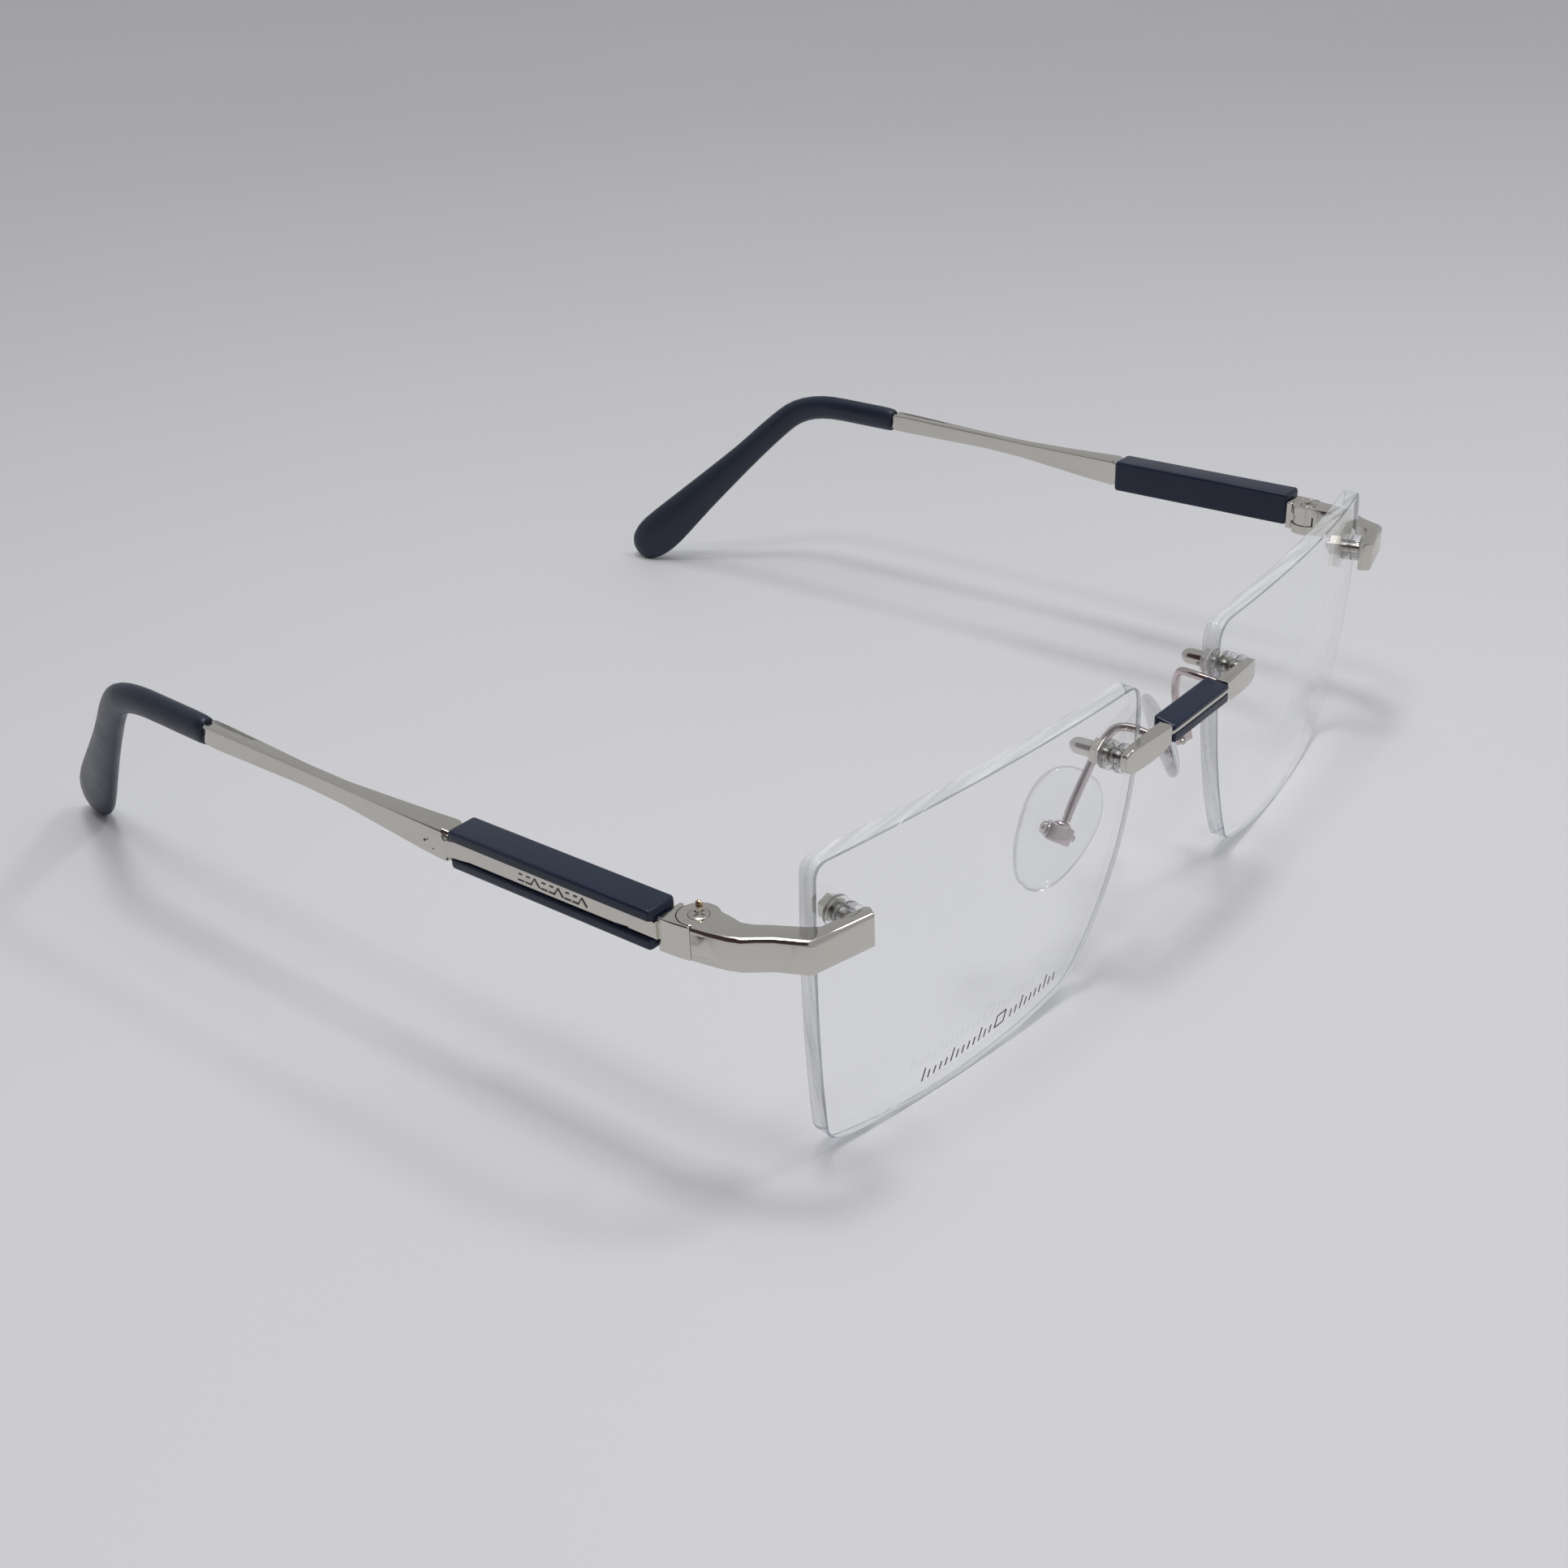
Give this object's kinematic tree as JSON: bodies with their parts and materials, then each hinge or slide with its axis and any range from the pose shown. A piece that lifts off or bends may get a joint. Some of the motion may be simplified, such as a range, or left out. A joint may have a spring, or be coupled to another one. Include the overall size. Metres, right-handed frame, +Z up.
{
  "type": "rimless eyeglasses",
  "caption": "Rimless eyeglasses with clear angular lenses, polished metal bridge, hinges and temples, navy sleeves, navy ear tips and clear nose pads.",
  "frame": {"origin": "centre of the bounding box, on the surface that the lenses and ear tips rest on", "axes": "+Y from the lenses back to the ear tips, +X towards the wearer's left, +Z up"},
  "size_m": [0.1422, 0.1444, 0.038],
  "materials": {
    "polished_nickel": "polished",
    "screw_steel": "satin",
    "navy_enamel": "glossy",
    "navy_acetate": "soft gloss",
    "lens_clear": "clear, glossy",
    "pad_clear": "clear, smooth",
    "bush_clear": "clear, glossy"
  },
  "bodies": {
    "front": {"bridge": "polished_nickel", "bridge_sleeve": "navy_enamel", "lens_left": "lens_clear", "stud_nasal_left": "screw_steel", "bush_nasal_left": "bush_clear", "washer_nasal_left": "bush_clear", "stud_temporal_left": "screw_steel", "bush_temporal_left": "bush_clear", "washer_temporal_left": "bush_clear", "cap_nut_left": "polished_nickel", "hex_nut_left": "polished_nickel", "pad_arm_left": "polished_nickel", "pad_box_left": "polished_nickel", "pad_screw_left": "screw_steel", "end_piece_left": "polished_nickel", "hinge_screw_left": "screw_steel", "lens_right": "lens_clear", "stud_nasal_right": "screw_steel", "bush_nasal_right": "bush_clear", "washer_nasal_right": "bush_clear", "stud_temporal_right": "screw_steel", "bush_temporal_right": "bush_clear", "washer_temporal_right": "bush_clear", "cap_nut_right": "polished_nickel", "hex_nut_right": "polished_nickel", "pad_arm_right": "polished_nickel", "pad_box_right": "polished_nickel", "pad_screw_right": "screw_steel", "end_piece_right": "polished_nickel", "hinge_screw_right": "screw_steel"},
    "temple_left_arm": {"temple_left": "polished_nickel", "temple_sleeve_left": "navy_enamel", "ear_tip_left": "navy_acetate"},
    "pad_left": {"nose_pad_left": "pad_clear"},
    "temple_right_arm": {"temple_right": "polished_nickel", "temple_sleeve_right": "navy_enamel", "ear_tip_right": "navy_acetate"},
    "pad_right": {"nose_pad_right": "pad_clear"}
  },
  "joints": [
    {"name": "temple_fold_left", "type": "hinge", "parent": "front", "child": "temple_left_arm", "pos_m": [0.0675, -0.05363, 0.02918], "axis": [0, 0, 1], "range_deg": [0, 86]},
    {"name": "temple_fold_right", "type": "hinge", "parent": "front", "child": "temple_right_arm", "pos_m": [-0.0675, -0.05363, 0.02918], "axis": [0, 0, -1], "range_deg": [0, 77]},
    {"name": "pad_rock_left", "type": "hinge", "parent": "front", "child": "pad_left", "pos_m": [0.01525, -0.06137, 0.01853], "axis": [0.4782, 0.7812, 0.4012], "range_deg": [-12, 12]},
    {"name": "pad_rock_right", "type": "hinge", "parent": "front", "child": "pad_right", "pos_m": [-0.01525, -0.06137, 0.01853], "axis": [-0.4782, 0.7812, 0.4012], "range_deg": [-12, 12]}
  ]
}
